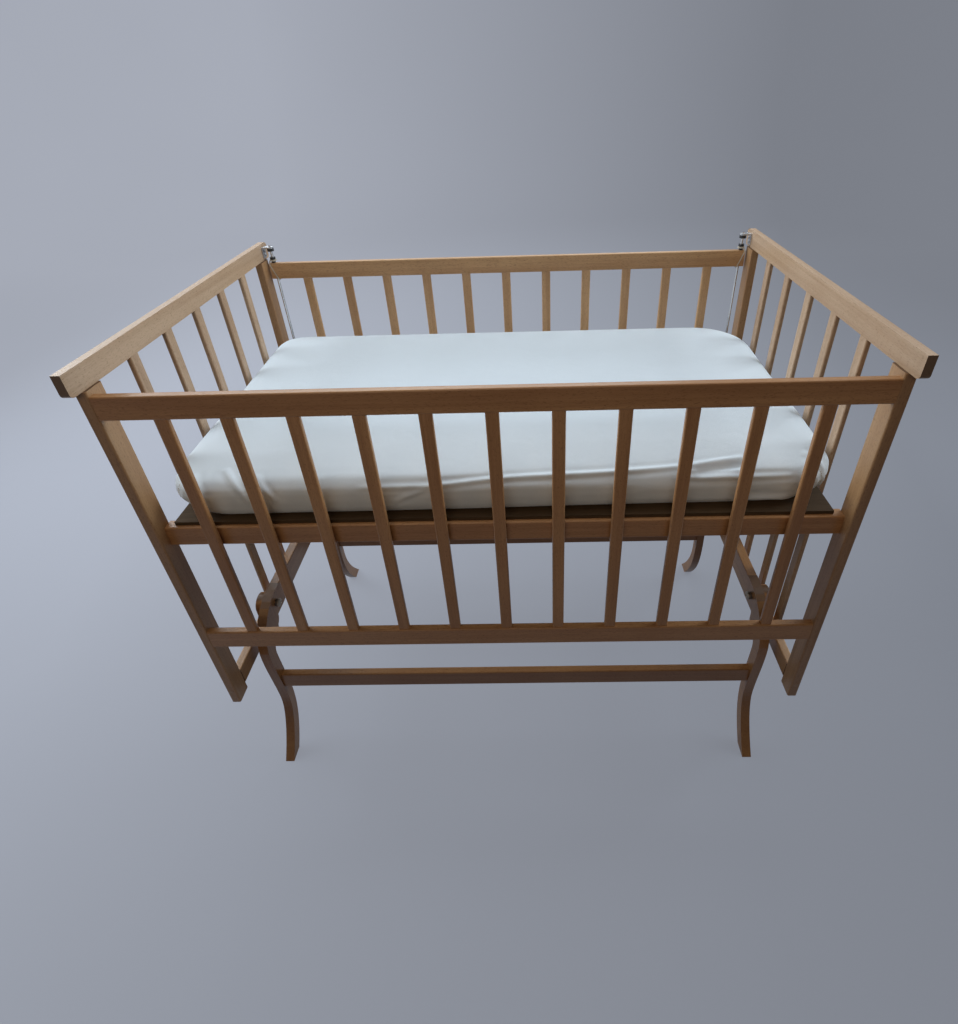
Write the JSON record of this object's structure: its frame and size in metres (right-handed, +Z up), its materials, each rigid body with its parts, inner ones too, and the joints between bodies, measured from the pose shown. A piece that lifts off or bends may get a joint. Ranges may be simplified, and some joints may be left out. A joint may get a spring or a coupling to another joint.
{
  "type": "swinging cradle on stand",
  "caption": "Wooden slatted cradle with a padded mattress and a sliding side, hung from four short links on a stand with curved legs.",
  "frame": {"origin": "on the floor, under the middle of the object's bounding box", "axes": "+X along the cradle to the right, +Y across it to the sliding side at the back, +Z up"},
  "size_m": [1.032, 0.59, 0.946],
  "materials": {
    "beech": "clear satin varnish on beech",
    "board": "bare grey-brown plywood",
    "cotton_sheet": "white cotton fitted sheet",
    "steel": "bright zinc-plated steel",
    "zinc_sheet": "bright zinc-plated sheet",
    "black_plastic": "black moulded plastic",
    "cotton_tie": "natural cotton string"
  },
  "bodies": {
    "stand": {"stand_leg_front_left": "beech", "stand_leg_front_right": "beech", "stand_leg_back_left": "beech", "stand_leg_back_right": "beech", "stand_bar_left": "beech", "stand_bar_right": "beech", "stretcher_front": "beech", "stretcher_back": "beech", "upper_pivot_bolts": "steel", "stand_bolts": "steel"},
    "link_front_left": {"swing_link_front_left": "beech"},
    "link_front_right": {"swing_link_front_right": "beech"},
    "link_back_left": {"swing_link_back_left": "beech"},
    "link_back_right": {"swing_link_back_right": "beech"},
    "cradle": {"post_front_left": "beech", "post_front_right": "beech", "post_back_left": "beech", "post_back_right": "beech", "end_rail_top_left": "beech", "end_rail_top_right": "beech", "end_rail_low_left": "beech", "end_rail_low_right": "beech", "end_slats_left": "beech", "end_slats_right": "beech", "front_rail_top": "beech", "front_rail_low": "beech", "front_ledge": "beech", "back_ledge": "beech", "front_slat_01": "beech", "front_slat_02": "beech", "front_slat_03": "beech", "front_slat_04": "beech", "front_slat_05": "beech", "front_slat_06": "beech", "front_slat_07": "beech", "front_slat_08": "beech", "front_slat_09": "beech", "front_slat_10": "beech", "front_slat_11": "beech", "base_board": "board", "mattress": "cotton_sheet", "lower_pivot_bolts": "steel", "guide_rods": "steel", "rod_brackets": "zinc_sheet", "stop_rings": "black_plastic"},
    "sliding_side": {"slide_rail_top": "beech", "slide_rail_low": "beech", "slide_slat_01": "beech", "slide_slat_02": "beech", "slide_slat_03": "beech", "slide_slat_04": "beech", "slide_slat_05": "beech", "slide_slat_06": "beech", "slide_slat_07": "beech", "slide_slat_08": "beech", "slide_slat_09": "beech", "slide_slat_10": "beech", "slide_slat_11": "beech", "slide_bushes": "black_plastic", "ties": "cotton_tie"}
  },
  "joints": [
    {"name": "swing", "type": "hinge", "parent": "stand", "child": "link_front_left", "pos_m": [-0.493, -0.132, 0.343], "axis": [1, 0, 0], "range_deg": [-18, 18], "stiffness_Nm_per_rad": 10, "springref_deg": 142.09},
    {"name": "cradle_level", "type": "hinge", "parent": "link_front_left", "child": "cradle", "pos_m": [-0.493, -0.132, 0.282], "axis": [1, 0, 0], "range_deg": [-18, 18], "stiffness_Nm_per_rad": 10, "springref_deg": 142.09},
    {"name": "swing_front_right", "type": "hinge", "parent": "stand", "child": "link_front_right", "pos_m": [0.493, -0.132, 0.343], "axis": [1, 0, 0], "range_deg": [-18, 18]},
    {"name": "swing_back_left", "type": "hinge", "parent": "stand", "child": "link_back_left", "pos_m": [-0.493, 0.132, 0.343], "axis": [1, 0, 0], "range_deg": [-18, 18]},
    {"name": "swing_back_right", "type": "hinge", "parent": "stand", "child": "link_back_right", "pos_m": [0.493, 0.132, 0.343], "axis": [1, 0, 0], "range_deg": [-18, 18]},
    {"name": "side_slide", "type": "slide", "parent": "cradle", "child": "sliding_side", "axis": [0, 0, 1], "range_m": [-0.125, 0]}
  ],
  "couplings": [
    {"joint": "cradle_level", "follows": "swing", "ratio": -1},
    {"joint": "swing_front_right", "follows": "swing", "ratio": 1},
    {"joint": "swing_back_left", "follows": "swing", "ratio": 1},
    {"joint": "swing_back_right", "follows": "swing", "ratio": 1}
  ]
}
